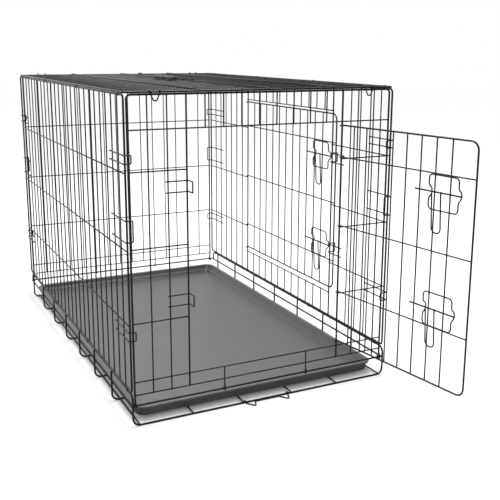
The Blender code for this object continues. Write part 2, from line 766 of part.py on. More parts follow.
def bail(axis):
    """The carry handle's wire, with both arms curled round the lid's middle wire."""
    half = BAIL_LENGTH / 2
    wrap = arc(Vector(), UP, ACROSS, BAIL_LAYER, 0.0, CURL_SWEEP, CURL_STEPS)
    bar = Vector((-BAIL_REACH, 0, BAIL_RISE))
    near = [point - BEHIND * half for point in reversed(wrap)]
    far = [point + BEHIND * half for point in wrap]
    bow = rounded([near[-1], bar - BEHIND * half, bar + BEHIND * half, far[0]], BAIL_BEND, 3)
    mesh = bmesh.new()
    start = (near[0] + BEHIND * half).normalized()
    sweep(mesh, near[:-1] + bow + far[1:], BAIL_R, start)
    return finish(add_object("handle_bail", mesh), BLACK_COAT, axis)


def grip_ring(mesh, y, swell):
    """One section of the grip, a flattened round."""
    ring = []
    for k in range(GRIP_SIDES):
        angle = radians(360 * k / GRIP_SIDES)
        point = (GRIP_HALF_WIDTH * swell * cos(angle), y, GRIP_HALF_HEIGHT * swell * sin(angle))
        ring.append(mesh.verts.new(point))
    return ring


def grip_bore(mesh, y):
    """One ring of the hole that the bail wire runs through."""
    radius = (BAIL_R + CLEARANCE) / cos(radians(180 / GRIP_SIDES))
    circle = arc(Vector((0, y, 0)), ACROSS, UP, radius, 0, radians(360), GRIP_SIDES)
    return [mesh.verts.new(point) for point in circle[:-1]]


def grip(axis):
    """The moulded grip on the bail, with shallow waves for the fingers."""
    mesh = bmesh.new()
    half = GRIP_LENGTH / 2
    count = 4 * GRIP_WAVES
    rings = []
    for i in range(count + 1):
        swell = 1.0 - GRIP_SWELL * cos(radians(90 * i))
        taper = GRIP_END_TAPER if i in (0, count) else 1.0
        rings.append(grip_ring(mesh, half - GRIP_LENGTH * i / count, swell * taper))
    rings += [grip_bore(mesh, -half), grip_bore(mesh, half)]
    join_rings(mesh, rings, closed=True)
    item = finish(add_object("handle_grip", mesh), GRIP_PLASTIC, axis)
    item.location = (-BAIL_REACH, 0, BAIL_RISE)
    return item


def carry_handle():
    middle = (LEFT_X + RIGHT_X) / 2
    axis = pivot("carry_handle_axis", (middle, FRONT_Y + DEPTH / 2, LID_Z + CROSS_LAYER))
    bail(axis)
    grip(axis)


# Assembly

def front_side(top):
    axis = pivot("front_fold_axis", (0, FRONT_Y, RAIL_Z))
    wall = Wall((-WIDTH / 2, 0, 0), ACROSS, BEHIND)
    end_wall("front_panel", wall, top, True, axis)
    for tag, level in LATCH_HEIGHTS:
        post = FRONT_POSTS[0] * PITCH
        keeper(f"front_keeper_{tag}", wall, post, FRONT_KEEPER_TAIL, level - RAIL_Z, axis)
    hinge_x = -WIDTH / 2 + FRONT_POSTS[1] * PITCH
    hinge = pivot("front_door_hinge", (hinge_x, 0, -RAIL_Z), radians(180) + DOOR_OPEN, axis)
    door("front_door", FRONT_DOOR_WIDTH, FRONT_DOOR_Z, hinge)
    latches("front", FRONT_DOOR_WIDTH, hinge)


def back_side(top):
    axis = pivot("back_fold_axis", (0, BACK_Y, RAIL_Z))
    wall = Wall((-WIDTH / 2, 0, 0), ACROSS, -BEHIND)
    end_wall("back_panel", wall, top, False, axis)


def long_sides():
    side_wall("left_side_panel", Wall((LEFT_X, FRONT_Y, 0), BEHIND, -ACROSS), False)
    wall = Wall((RIGHT_X, FRONT_Y, 0), BEHIND, -ACROSS)
    side_wall("right_side_panel", wall, True)
    for tag, level in LATCH_HEIGHTS:
        keeper(f"side_keeper_{tag}", wall, SIDE_POSTS[0] * PITCH, SIDE_KEEPER_TAIL, level)
    hinge = pivot("side_door_hinge", (RIGHT_X, FRONT_Y + SIDE_POSTS[1] * PITCH, 0), radians(-90))
    door("side_door", SIDE_DOOR_WIDTH, SIDE_DOOR_Z, hinge)
    latches("side", SIDE_DOOR_WIDTH, hinge)


def fittings():
    for end_name in ("front", "back"):
        for side_name in ("left", "right"):
            for tag, level, half in CORNER_HOOKS:
                corner_hook(end_name, side_name, tag, level, half)
        for tag, bays in LID_HOOK_PLACES:
            lid_hook(end_name, tag, bays)
    for side_name, x in (("left", LEFT_X), ("right", RIGHT_X)):
        for i, bays in enumerate(CLIP_BAYS, 1):
            y = FRONT_Y + bays * PITCH
            clip(f"base_clip_{side_name}_{i}", (x, y, RAIL_TOP_Z))
            clip(f"lid_clip_{side_name}_{i}", (x, y, WALL_TOP_Z))


def build():
    clear_scene()
    top = WALL_TOP_Z - RAIL_Z
    base()
    tray()
    pan_stop()
    front_side(top)
    back_side(top)
    long_sides()
    lid()
    carry_handle()
    fittings()


build()
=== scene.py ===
"""Looks of the folding wire crate: welded round wire, curled hinges, slide bolts, tray and grip.

Metres, +Z up, in the frame of the solids. X = 0 is the middle of the front wall and
Y = 0 the axis of the front floor wire. Every piece is laid where it is at rest.
"""
import json
from math import asin, cos, radians, sin, tan

import bmesh
import bpy
from mathutils import Matrix, Vector


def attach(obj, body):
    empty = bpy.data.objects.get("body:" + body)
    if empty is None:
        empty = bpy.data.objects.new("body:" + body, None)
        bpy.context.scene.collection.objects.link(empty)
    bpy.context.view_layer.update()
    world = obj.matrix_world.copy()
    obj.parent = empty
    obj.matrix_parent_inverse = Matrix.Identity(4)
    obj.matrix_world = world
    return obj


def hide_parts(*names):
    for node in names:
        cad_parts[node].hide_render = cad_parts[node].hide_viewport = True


# Walls: upright wires stand one pitch apart
PITCH = 0.0485
END_BAYS = 15
SIDE_BAYS = 25
WIDTH = END_BAYS * PITCH
DEPTH = SIDE_BAYS * PITCH

# Wire sizes, as radii, and the coat's thickness on each
FRAME_R = 0.0025
MESH_R = 0.0017
POST_R = 0.0022
FLOOR_R = 0.0022
ROD_R = 0.0020
COAT = 0.0001
# The solids' wires are six-sided: half their width across the flats, as a share of the radius
FLAT = cos(radians(30))

# Fits between wires
WELD = 0.0003
CLEARANCE = 0.0003
SLACK = 0.0005
LEFT_ROOM = 0.0018
RIGHT_ROOM = 0.0045
WIRE_OVERRUN = 0.0015

# Heights above the floor
RAIL_Z = 0.053
RAIL_TOP_Z = 0.083
BOTTOM_WIRE_Z = 0.0785
SILL_Z = 0.112
MESH_HEIGHTS = (0.263, 0.448, 0.633)
HEADER_Z = 0.731
WALL_TOP_Z = 0.812
SIDE_SILL_Z = 0.165
SIDE_HEADER_Z = 0.735

# Layers of crossing wires
GRID_LAYER = 2 * MESH_R - WELD
LID_WIRE_LAYER = 2 * MESH_R + CLEARANCE
STACK = 2 * FRAME_R + SLACK
SIDE_BOTTOM_Z = RAIL_TOP_Z + STACK
LID_Z = WALL_TOP_Z + STACK

# Places of the walls
FRONT_Y = FRAME_R + FRAME_R * FLAT - WELD
BACK_Y = FRONT_Y + DEPTH
LEFT_X = -WIDTH / 2 - STACK - LEFT_ROOM
RIGHT_X = WIDTH / 2 + STACK + RIGHT_ROOM
LID_X = (LEFT_X + RIGHT_X) / 2
LID_HALF = (RIGHT_X - LEFT_X) / 2

# Base
CORNER_BEND = 0.018
PANEL_BEND = 0.010
FLOOR_WIRES = 6
FLOOR_WIRE_INSET = 0.015
CROSS_WIRES = 8
CROSS_WIRE_STEP = 0.1666
FLOOR_AXIS_Z = FRAME_R + COAT
STOP_AXIS_Z = FRAME_R * FLAT
LEG_LAP = 2 * FRAME_R * FLAT - WELD
FLOOR_WIRE_Z = 2 * FRAME_R * FLAT + FLOOR_R - WELD
RAIL_DROP_INSET = 0.014
RAIL_OVERHANG = 0.004
RAIL_WELD_R = 1.1 * FRAME_R
LEG_WELD_R = 1.05 * FRAME_R
FLOOR_WELD_R = 1.05 * FLOOR_R

# Tray
TRAY_SIDE_GAP = 0.0058
TRAY_FRONT_GAP = 0.0154
TRAY_BACK_GAP = 0.0175
TRAY_HEIGHT = 0.0275
TRAY_CORNER = 0.034
TRAY_LEAST_CORNER = 0.008
TRAY_Z = FLOOR_WIRE_Z + FLOOR_R + CLEARANCE + 2 * COAT
TRAY_HALF_WIDTH = (WIDTH - 2 * TRAY_SIDE_GAP) / 2
TRAY_HALF_DEPTH = (DEPTH - TRAY_FRONT_GAP - TRAY_BACK_GAP) / 2
# Inset, height and rounding, from the foot up the outside, over the rim and down to the floor
TRAY_PROFILE = (
    (0.0130, 0.0, 0.0),
    (0.0095, 0.0012, 0.0015),
    (0.0070, TRAY_HEIGHT - 0.0060, 0.0010),
    (0.0006, TRAY_HEIGHT - 0.0052, 0.0006),
    (0.0, TRAY_HEIGHT - 0.0038, 0.0006),
    (0.0, TRAY_HEIGHT - 0.0010, 0.0014),
    (0.0010, TRAY_HEIGHT, 0.0010),
    (0.0100, TRAY_HEIGHT, 0.0020),
    (0.0115, TRAY_HEIGHT - 0.0012, 0.0015),
    (0.0165, TRAY_HEIGHT - 0.0125, 0.0020),
    (0.0290, TRAY_HEIGHT - 0.0140, 0.0030),
    (0.0340, 0.0048, 0.0030),
    (0.0380, 0.0038, 0.0),
)

# Doors
FRONT_POSTS = (3, 12)
SIDE_POSTS = (6, 18)
BAY_UPRIGHTS = (5, 10)
FRONT_DOOR_WIDTH = 0.445
SIDE_DOOR_WIDTH = 0.595
FRONT_DOOR_Z = (0.126, 0.721)
SIDE_DOOR_Z = (0.179, 0.725)
DOOR_OPEN = radians(98)
DOOR_BEND = 0.020
DOOR_FIRST_WIRE = 0.039
DOOR_WIRE_STEP = 0.0473
DOOR_EDGE_BAY = 0.060
DOOR_LIFT = 0.0045
DOOR_FRAME_EASE = 0.0001
DOOR_FRAME_LAYER = 2 * POST_R + SLACK - DOOR_FRAME_EASE
DOOR_CROSS_LAYER = POST_R + MESH_R + SLACK
DOOR_UPRIGHT_LAYER = DOOR_CROSS_LAYER + GRID_LAYER

# Slide bolts, placed from the door's free edge
LATCH_HEIGHTS = (("upper", 0.592), ("lower", 0.308))
ROD_LENGTH = 0.145
ROD_SETBACK = 0.044
GUIDE_LENGTH = 0.090
GUIDE_SETBACK = 0.053
GUIDE_DROP = 0.042
GUIDE_RISE = 0.041
GUIDE_BEND = 0.010
STAPLE_BULGE = 0.0102
STAPLE_REACH = 0.0075
STAPLE_FOOT = 0.015
HANDLE_SETBACK = 0.111
HANDLE_WIDTH = 0.028
HANDLE_LENGTH = 0.100
HANDLE_LAP = 4 * ROD_R
HANDLE_STEP = 0.005
HANDLE_BEND = 0.012
ROD_LAYER = DOOR_CROSS_LAYER + 3 * MESH_R + 2 * CLEARANCE + ROD_R
GUIDE_LAYER = DOOR_UPRIGHT_LAYER + GRID_LAYER
HANDLE_OFFSET = ROD_R + MESH_R + CLEARANCE

# Keepers on the door posts
KEEPER_HALF = 0.0135
KEEPER_REACH = 0.022
KEEPER_BEND = 0.003
KEEPER_SETBACK = 0.0055
FRONT_KEEPER_TAIL = 0.0525
SIDE_KEEPER_TAIL = 0.073
KEEPER_LAYER = POST_R + MESH_R + CLEARANCE

# Hooks
CORNER_HOOKS = (("upper", 0.665, 0.010), ("middle", 0.495, 0.026), ("lower", 0.235, 0.011))
HOOK_ARM = 0.107
HOOK_REACH = 0.006
HOOK_BEND = 0.003
HOOK_GAP = 0.0006
LID_HOOK_WIDTH = 0.026
LID_HOOK_DROP = 0.020
LID_HOOK_TIP = 0.008
LID_HOOK_PLACES = (("left", 1.4), ("right", 13.6))

# Clips round two stacked wires
CLIP_BORE = FRAME_R + CLEARANCE
CLIP_THICKNESS = 0.0008
CLIP_LENGTH = 0.010
CLIP_EDGE = 0.0003
CLIP_STEPS = 12
CLIP_BAYS = (0.72, 8.5, 16.5, 24.28)

# Pan stop on the front floor wire
STOP_START = -0.064
STOP_TOOTH = 0.027
STOP_TIP = 0.018
STOP_ROD = 0.072
STOP_REACH = 0.026
STOP_BEND = 0.004
STOP_WRAP = radians(160)
STOP_LAYER = FRAME_R + MESH_R + SLACK + 2 * COAT

# Lid and carry handle
LID_LONG_WIRES = 3
BAIL_R = 0.0020
BAIL_LENGTH = 0.214
BAIL_REACH = 0.046
BAIL_RISE = 0.0060
BAIL_BEND = 0.010
BAIL_LAYER = MESH_R + BAIL_R + SLACK
GRIP_LENGTH = 0.176
GRIP_HALF_WIDTH = 0.0115
GRIP_HALF_HEIGHT = 0.0062
GRIP_WAVES = 3
GRIP_SWELL = 0.08
GRIP_SIDES = 32
GRIP_RINGS = 60
GRIP_END = 0.006
GRIP_END_SHRINK = 0.28
GRIP_POWER = 2.6
LOOP_BAYS = (20.14, 20.86)
LOOP_FOOT = 0.010
LOOP_RISE = 0.008

# Curled wire ends
CURL_SWEEP = radians(270)
RAIL_CURL_SWEEP = radians(225)
LEG_JOG = 0.016
JOG_BEND = 0.006

# The share of a straight run that one bend may take
BEND_SHARE = 0.49

# How finely the pieces are drawn
BEND_STEPS = 7
CURL_STEPS = 20
WIRE_SIDES = 12
NUGGET_SIDES = 8
NUGGET_RINGS = 5
TRAY_CORNER_STEPS = 14
TRAY_EDGE_STEPS = 4
SHARP_ANGLE = radians(40)

# Welds and cut wire ends
NUGGET_R = 1.22 * MESH_R
END_CHAMFER = 0.35
END_NOSE = 0.68

# Mottle: the middle of the noise, and how far its swing is widened
NOISE_MIDDLE = 0.5
MOTTLE_GAIN = 4.0

# The photograph's camera
LENS = 56.817
SENSOR_WIDTH = 36
LENS_SHIFT = (-0.01282, -0.04849)
CLIP_RANGE = (0.05, 60)
CAMERA_PLACE = (-0.91292, -1.73826, 0.91449)
CAMERA_HEADING = -0.46835
CAMERA_DIP = 0.22041
CAMERA_ROLL = 0.00538

# Studio
STUDIO_HALF_SIZE = 14
PAPER_ROUGHNESS = 0.9
CRATE_MIDDLE = (0, 0.6, 0)
# Near and far distance, then the lift at each
FLOOR_LIFT = (0.8, 2.4, 0.10, 0.46)
FLOOR_TONE = 0.86
FLOOR_TONE_REFLECTED = 0.35
SKY_LEVEL = 0.62
# From the camera's side to the far side, then the level seen in reflections at each
BACKDROP = (-0.2, 0.8, 0.22, 1.25)
# Name, place, aim, size and power
LAMPS = (("overhead_lamp", (0.15, 0.5, 2.9), (0, 0.5, 0), 1.5, 80.0),
         ("side_lamp", (-2.4, -1.6, 2.8), (0, 0.4, 0.2), 2.2, 30.0))

ACROSS = Vector((1, 0, 0))
BEHIND = Vector((0, 1, 0))
UP = Vector((0, 0, 1))


# Paths

def arc(centre, first, second, radius, start, end, steps=CURL_STEPS):
    """Points round centre; angles run from the direction first towards second."""
    turn = (end - start) / steps
    angles = [start + turn * i for i in range(steps + 1)]
    return [centre + (first * cos(a) + second * sin(a)) * radius for a in angles]


def bend(before, corner, after, radius, steps=BEND_STEPS):
    """Points of the arc that rounds one corner of a path."""
    inward, outward = before - corner, after - corner
    opening = inward.angle(outward)
    reach = min(radius / tan(opening / 2), BEND_SHARE * min(inward.length, outward.length))
    fitted = reach * tan(opening / 2)
    bisector = (inward.normalized() + outward.normalized()).normalized()
    centre = corner + bisector * (fitted / sin(opening / 2))
    start = corner + inward.normalized() * reach - centre
    end = corner + outward.normalized() * reach - centre
    return [centre + start.slerp(end, i / steps) * fitted for i in range(steps + 1)]


def rounded(corners, radius, closed=False, steps=BEND_STEPS):
    """A path through corners, each rounded to radius."""
    corners = [Vector(corner) for corner in corners]
    path = []
    for i, corner in enumerate(corners):
        if not closed and i in (0, len(corners) - 1):
            path.append(corner)
            continue
        path += bend(corners[i - 1], corner, corners[(i + 1) % len(corners)], radius, steps)
    return path


# Node trees

def builder(tree):
    """Two helpers for a node tree: one adds a node, the other links two sockets."""
    def add(kind, values=None, **settings):
        node = tree.nodes.new(kind)
        for key, value in settings.items():
            setattr(node, key, value)
        for key, value in (values or {}).items():
            node.inputs[key].default_value = value
        return node

    def link(source, output, target, entry):
        tree.links.new(source.outputs[output], target.inputs[entry])
    return add, link


def socket(tree, label, kind, value=None, output=False):
    """Give a group an input or output."""
    side = "OUTPUT" if output else "INPUT"
    item = tree.interface.new_socket(label, in_out=side, socket_type=kind)
    if value is not None:
        item.default_value = value


def ramp(limits):
    """Inputs of a Map Range node: the two ends it reads, then what it gives at each."""
    return dict(zip(("From Min", "From Max", "To Min", "To Max"), limits))


def round_wire_tree():
    """Turns bare edges into round wire and loose points into weld nuggets."""
    tree = bpy.data.node_groups.new("round_welded_wire", "GeometryNodeTree")
    socket(tree, "Wires", "NodeSocketGeometry")
    socket(tree, "Sides", "NodeSocketInt", WIRE_SIDES)
    socket(tree, "Nugget Sides", "NodeSocketInt", NUGGET_SIDES)
    socket(tree, "Nugget Rings", "NodeSocketInt", NUGGET_RINGS)
    socket(tree, "Finish", "NodeSocketMaterial")
    socket(tree, "Wirework", "NodeSocketGeometry", output=True)
    add, link = builder(tree)
    entry, result = add("NodeGroupInput"), add("NodeGroupOutput")
    gauge = add("GeometryNodeInputNamedAttribute", {"Name": "gauge"}, data_type="FLOAT")
    paths = add("GeometryNodeMeshToCurve")
    section = add("GeometryNodeCurvePrimitiveCircle", {"Radius": 1.0}, mode="RADIUS")
    tube = add("GeometryNodeCurveToMesh", {"Fill Caps": True})
    link(entry, "Wires", paths, "Mesh")
    link(entry, "Sides", section, "Resolution")
    link(paths, "Curve", tube, "Curve")
    link(section, "Curve", tube, "Profile Curve")
    link(gauge, "Attribute", tube, "Scale")
    # A loose point has no neighbours
    neighbours = add("GeometryNodeInputMeshVertexNeighbors")
    loose = add("ShaderNodeMath", {1: 0.5}, operation="LESS_THAN")
    nugget = add("GeometryNodeMeshUVSphere", {"Radius": 1.0})
    welds = add("GeometryNodeInstanceOnPoints")
    link(neighbours, "Vertex Count", loose, 0)
    link(entry, "Nugget Sides", nugget, "Segments")
    link(entry, "Nugget Rings", nugget, "Rings")
    link(entry, "Wires", welds, "Points")
    link(loose, 0, welds, "Selection")
    link(nugget, "Mesh", welds, "Instance")
    link(gauge, "Attribute", welds, "Scale")
    joined, smooth = add("GeometryNodeJoinGeometry"), add("GeometryNodeSetShadeSmooth")
    real, finish = add("GeometryNodeRealizeInstances"), add("GeometryNodeSetMaterial")
    link(tube, "Mesh", joined, "Geometry")
    link(welds, "Instances", joined, "Geometry")
    link(joined, "Geometry", real, "Geometry")
    link(real, "Geometry", smooth, "Geometry")
    link(smooth, "Geometry", finish, "Geometry")
    link(entry, "Finish", finish, "Material")
    link(finish, "Geometry", result, "Wirework")
    return tree


def mottle_group():
    """Broad, faint unevenness of a coat or moulding, as a factor round 1."""
    tree = bpy.data.node_groups.new("surface_mottle", "ShaderNodeTree")
    socket(tree, "Position", "NodeSocketVector")
    socket(tree, "Patches Per Metre", "NodeSocketFloat", 20.0)
    socket(tree, "Unevenness", "NodeSocketFloat", 0.1)
    socket(tree, "Tone", "NodeSocketFloat", output=True)
    add, link = builder(tree)
    entry, result = add("NodeGroupInput"), add("NodeGroupOutput")
    patches = add("ShaderNodeTexNoise", {"Detail": 4.0, "Roughness": 0.6})
    centred = add("ShaderNodeMath", {1: NOISE_MIDDLE}, operation="SUBTRACT")
    widened = add("ShaderNodeMath", {1: MOTTLE_GAIN}, operation="MULTIPLY")
    faint = add("ShaderNodeMath", operation="MULTIPLY")
    tone = add("ShaderNodeMath", {1: 1.0}, operation="ADD")
    link(entry, "Position", patches, "Vector")
    link(entry, "Patches Per Metre", patches, "Scale")
    link(patches, "Fac", centred, 0)
    link(centred, 0, widened, 0)
    link(widened, 0, faint, 0)
    link(entry, "Unevenness", faint, 1)
    link(faint, 0, tone, 0)
    link(tone, 0, result, "Tone")
    return tree


def grain_group():
    """Fine relief: from the orange peel of a powder coat to the pebbles of a moulded grain."""
    tree = bpy.data.node_groups.new("fine_grain", "ShaderNodeTree")
    socket(tree, "Position", "NodeSocketVector")
    socket(tree, "Grains Per Metre", "NodeSocketFloat", 700.0)
    socket(tree, "Pebbles", "NodeSocketFloat", 0.5)
    socket(tree, "Height", "NodeSocketFloat", output=True)
    add, link = builder(tree)
    entry, result = add("NodeGroupInput"), add("NodeGroupOutput")
    peel = add("ShaderNodeTexNoise", {"Detail": 2.0, "Roughness": 0.5})
    pebble = add("ShaderNodeTexVoronoi", {"Smoothness": 0.6}, feature="SMOOTH_F1")
    blend = add("ShaderNodeMix", data_type="FLOAT")
    for texture in (peel, pebble):
        link(entry, "Position", texture, "Vector")
        link(entry, "Grains Per Metre", texture, "Scale")
    link(entry, "Pebbles", blend, "Factor")
    link(peel, "Fac", blend, "A")
    link(pebble, "Distance", blend, "B")
    link(blend, "Result", result, "Height")
    return tree


# Finishes

class Finish:
    """One material: colour, gloss, mottle and grain."""

    def __init__(self, name, colour, roughness, shine, mottle, grain, relief):
        self.material = bpy.data.materials.new(name)
        self.material.use_nodes = True
        tree = self.material.node_tree
        add, link = builder(tree)
        shader = tree.nodes["Principled BSDF"]
        place = add("ShaderNodeTexCoord")
        uneven = add("ShaderNodeGroup", node_tree=MOTTLE)
        uneven.inputs["Patches Per Metre"].default_value = mottle[0]
        uneven.inputs["Unevenness"].default_value = mottle[1]
        fine = add("ShaderNodeGroup", node_tree=GRAIN)
        fine.inputs["Grains Per Metre"].default_value = grain[0]
        fine.inputs["Pebbles"].default_value = grain[1]
        shader.inputs["Specular IOR Level"].default_value = shine
        tint = add("ShaderNodeVectorMath", {0: colour}, operation="SCALE")
        gloss = add("ShaderNodeMath", {1: roughness}, operation="MULTIPLY")
        bump = add("ShaderNodeBump", {"Strength": relief[0], "Distance": relief[1]})
        link(place, "Object", uneven, "Position")
        link(place, "Object", fine, "Position")
        link(uneven, "Tone", tint, "Scale")
        link(uneven, "Tone", gloss, 0)
        link(tint, "Vector", shader, "Base Color")
        link(gloss, 0, shader, "Roughness")
        link(fine, "Height", bump, "Height")
        link(bump, "Normal", shader, "Normal")


# Making pieces

def link_object(name, data):
    """A new object in the scene."""
    item = bpy.data.objects.new(name, data)
    bpy.context.scene.collection.objects.link(item)
    return item


def dress(item, node):
    """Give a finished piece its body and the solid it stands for."""
    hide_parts(node)
    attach(item, BODY_OF[node])
    return item


def moulded(name, mesh, node):
    """A finished piece from a bmesh."""
    bmesh.ops.recalc_face_normals(mesh, faces=mesh.faces)
    data = bpy.data.meshes.new(name)
    mesh.to_mesh(data)
    mesh.free()
    data.materials.append(FINISHES[SLOT_OF[node]].material)
    data.shade_smooth()
    data.set_sharp_from_angle(angle=SHARP_ANGLE)
    return dress(link_object(name, data), node)


def join_rings(mesh, rings, closed=False):
    """Skin a run of rings; the ends of an open run are capped."""
    pairs = list(zip(rings, rings[1:]))
    if closed:
        pairs.append((rings[-1], rings[0]))
    for ring, following in pairs:
        for k in range(len(ring)):
            j = (k + 1) % len(ring)
            mesh.faces.new((ring[k], ring[j], following[j], following[k]))
    if not closed:
        mesh.faces.new(list(reversed(rings[0])))
        mesh.faces.new(rings[-1])


class Wirework:
    """The bare paths and welds of one piece, until they are made round."""

    def __init__(self):
        self.points = []
        self.gauges = []
        self.edges = []

    def wire(self, path, radius, closed=False):
        """Lay a coated wire along path. A cut end has a small chamfer."""
        path = [Vector(point) for point in path]
        radius += COAT
        gauges = [radius] * len(path)
        if not closed:
            nose = radius * END_CHAMFER
            first = path[0] + (path[1] - path[0]).normalized() * nose
            last = path[-1] + (path[-2] - path[-1]).normalized() * nose
            path = [path[0], first] + path[1:-1] + [last, path[-1]]
            gauges = [radius * END_NOSE] + [radius] * (len(path) - 2) + [radius * END_NOSE]
        start, count = len(self.points), len(path)
        self.points += path
        self.gauges += gauges
        self.edges += [(start + i, start + i + 1) for i in range(count - 1)]
        if closed:
            self.edges.append((start + count - 1, start))

    def weld(self, place, radius=NUGGET_R):
        """A nugget where two wires meet."""
        self.points.append(Vector(place))
        self.gauges.append(radius)

    def piece(self, node):
        """The finished piece that stands for a solid."""
        name = node + "_wirework"
        data = bpy.data.meshes.new(name)
        data.from_pydata(self.points, self.edges, [])
        data.attributes.new("gauge", "FLOAT", "POINT").data.foreach_set("value", self.gauges)
        item = link_object(name, data)
        maker = item.modifiers.new("round_wire", "NODES")
        maker.node_group = ROUND_WIRE
        values = {"Sides": WIRE_SIDES, "Nugget Sides": NUGGET_SIDES, "Nugget Rings": NUGGET_RINGS,
                  "Finish": FINISHES[SLOT_OF[node]].material}
        for entry in ROUND_WIRE.interface.items_tree:
            if entry.in_out == "INPUT" and entry.name in values:
                maker[entry.identifier] = values[entry.name]
        bpy.context.view_layer.update()
        graph = bpy.context.evaluated_depsgraph_get()
        result = bpy.data.meshes.new_from_object(item.evaluated_get(graph))
        item.modifiers.clear()
        item.data = result
        bpy.data.meshes.remove(data)
        result.name = name
        if "gauge" in result.attributes:
            result.attributes.remove(result.attributes["gauge"])
        return dress(item, node)


# Walls and doors. Wires are laid by (along, height, layer); layers count from the frame

class Plane:
    """A wall or door: where it starts, which way it runs and which way its layers stack."""

    def __init__(self, start, along, layers):
        self.start = Vector(start)
        self.along = Vector(along)
        self.layers = Vector(layers)

    def spot(self, along, height, layer=0.0):
        """The point at a distance along, a height and a layer."""
        return self.start + self.along * along + UP * height + self.layers * layer

    def leg(self, along, radius, high):
        """Path of an upright that comes down, jogs outwards and curls under the rail."""
        reach = FRAME_R + radius + SLACK
        meet = -asin(reach / LEG_JOG)
        curl = arc(self.spot(along, RAIL_Z), -self.layers, -UP, reach, meet, RAIL_CURL_SWEEP)
        top, jog = self.spot(along, high), self.spot(along, RAIL_Z + LEG_JOG)
        return [top] + bend(top, jog, curl[0], JOG_BEND) + curl

    def grid(self, work, uprights, crosswires, edges):
        """Lay uprights and crosswires, and weld them where they cross each other and the edges."""
        for along, low, high, radius in uprights:
            if low < RAIL_Z:
                work.wire(self.leg(along, radius, high), radius)
            else:
                work.wire([self.spot(along, low), self.spot(along, high)], radius)
            if high == WALL_TOP_Z:
                work.weld(self.spot(along, high - FRAME_R))
        for height, start, end in crosswires:
            ends = [self.spot(along, height, GRID_LAYER) for along in (start, end)]
            work.wire(ends, MESH_R)
            for along, low, high, radius in uprights + edges:
                reached = start - FRAME_R < along < end + FRAME_R
                if reached and low - MESH_R < height < high + MESH_R:
                    work.weld(self.spot(along, height, (GRID_LAYER + radius - MESH_R) / 2))


def end_wall(node, plane, with_door):
    """A wall at the front or back. Its frame and some uprights curl round the base rail."""
    work = Wirework()
    door_bay = range(FRONT_POSTS[0] + 1, FRONT_POSTS[1]) if with_door else ()
    uprights = []
    for i in range(1, END_BAYS):
        along = i * PITCH
        if with_door and i in FRONT_POSTS:
            uprights.append((along, BOTTOM_WIRE_Z, WALL_TOP_Z, POST_R))
        elif i in door_bay:
            uprights.append((along, HEADER_Z - MESH_R, WALL_TOP_Z, MESH_R))
            if i in BAY_UPRIGHTS:
                uprights.append((along, 0.0, SILL_Z + MESH_R, MESH_R))
        elif i in BAY_UPRIGHTS:
            uprights.append((along, 0.0, WALL_TOP_Z, MESH_R))
        else:
            uprights.append((along, BOTTOM_WIRE_Z - MESH_R, WALL_TOP_Z, MESH_R))
    overrun = FRAME_R - WIRE_OVERRUN
    spans = [(-overrun, WIDTH + overrun)]
    if with_door:
        left, right = (post * PITCH for post in FRONT_POSTS)
        spans = [(-overrun, left + overrun), (right - overrun, WIDTH + overrun)]
    crosswires = [(height, start, end) for height in MESH_HEIGHTS for start, end in spans]
    full = (BOTTOM_WIRE_Z, SILL_Z, HEADER_Z) if with_door else (BOTTOM_WIRE_Z, SILL_Z)
    crosswires += [(height, -overrun, WIDTH + overrun) for height in full]
    edges = [(along, 0.0, WALL_TOP_Z, FRAME_R) for along in (0.0, WIDTH)]
    plane.grid(work, uprights, crosswires, edges)
    left = list(reversed(plane.leg(0.0, FRAME_R, WALL_TOP_Z)))
    right = plane.leg(WIDTH, FRAME_R, WALL_TOP_Z)
    top = rounded([left[-2], left[-1], right[0], right[1]], PANEL_BEND)
    work.wire(left[:-1] + top[1:-1] + right[1:], FRAME_R)
    return work.piece(node)


def side_wall(node, plane, with_door):
    """A wall at the left or right, in a closed frame that stands on the side rail."""
    work = Wirework()
    bay = range(SIDE_POSTS[0] + 1, SIDE_POSTS[1]) if with_door else ()
    uprights = []
    for i in range(1, SIDE_BAYS):
        along = i * PITCH
        if i in bay:
            uprights.append((along, SIDE_BOTTOM_Z, SIDE_SILL_Z + MESH_R, MESH_R))
            uprights.append((along, SIDE_HEADER_Z - MESH_R, WALL_TOP_Z, MESH_R))
        else:
            radius = POST_R if with_door and i in SIDE_POSTS else MESH_R
            uprights.append((along, SIDE_BOTTOM_Z, WALL_TOP_Z, radius))
        work.weld(plane.spot(along, SIDE_BOTTOM_Z + FRAME_R))
    overrun = FRAME_R - WIRE_OVERRUN
    spans = [(-overrun, DEPTH + overrun)]
    crosswires = []
    if with_door:
        front, back = (post * PITCH for post in SIDE_POSTS)
        spans = [(-overrun, front + overrun), (back - overrun, DEPTH + overrun)]
        crosswires = [(height, front - overrun, back + overrun)
                      for height in (SIDE_SILL_Z, SIDE_HEADER_Z)]
    crosswires += [(height, start, end) for height in MESH_HEIGHTS for start, end in spans]
    edges = [(along, SIDE_BOTTOM_Z, WALL_TOP_Z, FRAME_R) for along in (0.0, DEPTH)]
    plane.grid(work, uprights, crosswires, edges)
    corners = [plane.spot(0, SIDE_BOTTOM_Z), plane.spot(DEPTH, SIDE_BOTTOM_Z),
               plane.spot(DEPTH, WALL_TOP_Z), plane.spot(0, WALL_TOP_Z)]
    work.wire(rounded(corners, PANEL_BEND, closed=True), FRAME_R, closed=True)
    return work.piece(node)


# Base

